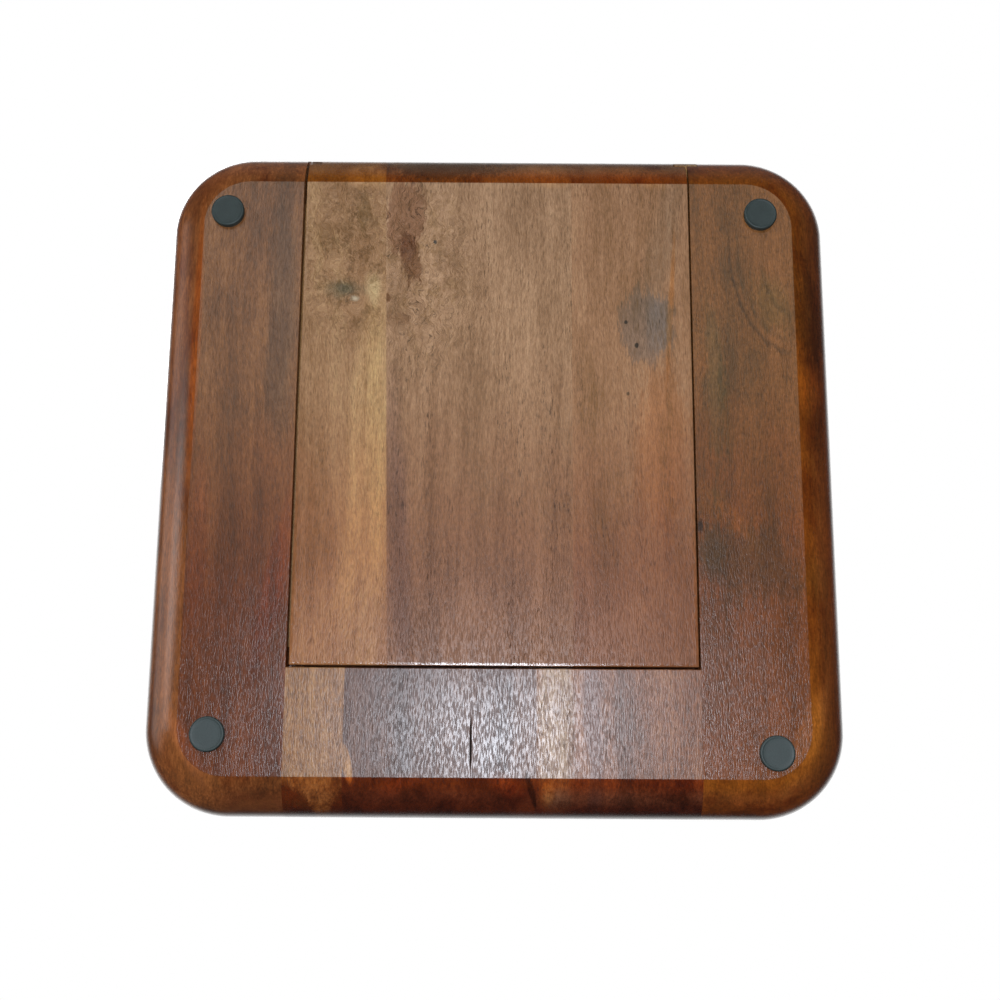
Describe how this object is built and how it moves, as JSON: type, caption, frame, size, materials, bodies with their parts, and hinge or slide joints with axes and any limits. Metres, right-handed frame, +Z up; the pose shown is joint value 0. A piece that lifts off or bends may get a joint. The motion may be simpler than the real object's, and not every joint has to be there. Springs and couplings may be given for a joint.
{
  "type": "tabletop gaming board",
  "caption": "Square, round-cornered wooden gaming board on low rubber feet, with an inlaid field of squares on top and a flush drawer for pieces in its underside.",
  "frame": {"origin": "middle of the plane that the feet rest on, under the middle of the board", "axes": "+Z up out of the playing field; -Y out of the drawer's front, the way the drawer pulls; +X to the right for someone in front of the drawer who looks along +Y"},
  "size_m": [0.305, 0.305, 0.044],
  "materials": {
    "rail_wood": "lacquered acacia, reddish brown",
    "back_wood": "lacquered acacia, dark red brown",
    "light_wood": "lacquered acacia sapwood, light brown",
    "drawer_wood": "lacquered acacia, mid brown, open pores",
    "top_wood": "lacquered acacia, brown",
    "runner_wood": "bare hardwood, waxed",
    "field_wood": "lacquered squares, pale and dark wood in turn",
    "stringing_wood": "lacquered near-black inlay",
    "foot_rubber": "matt black-green rubber"
  },
  "bodies": {
    "board": {"left_rail": "rail_wood", "right_rail": "rail_wood", "left_runner": "runner_wood", "right_runner": "runner_wood", "top_stave_left": "top_wood", "top_stave_middle": "top_wood", "top_stave_right": "top_wood", "back_stave_left": "light_wood", "back_stave_middle": "back_wood", "back_stave_right": "back_wood", "field_rank_1": "field_wood", "field_rank_2": "field_wood", "field_rank_3": "field_wood", "field_rank_4": "field_wood", "field_rank_5": "field_wood", "field_rank_6": "field_wood", "field_rank_7": "field_wood", "field_rank_8": "field_wood", "stringing_front": "stringing_wood", "stringing_back": "stringing_wood", "stringing_left": "stringing_wood", "stringing_right": "stringing_wood", "foot_front_left": "foot_rubber", "foot_front_right": "foot_rubber", "foot_back_left": "foot_rubber", "foot_back_right": "foot_rubber"},
    "drawer": {"drawer_stave_left": "light_wood", "drawer_stave_middle": "drawer_wood", "drawer_stave_right": "drawer_wood"}
  },
  "joints": [
    {"name": "drawer_slide", "type": "slide", "parent": "board", "child": "drawer", "axis": [0, -1, 0], "range_m": [0, 0.2]}
  ]
}
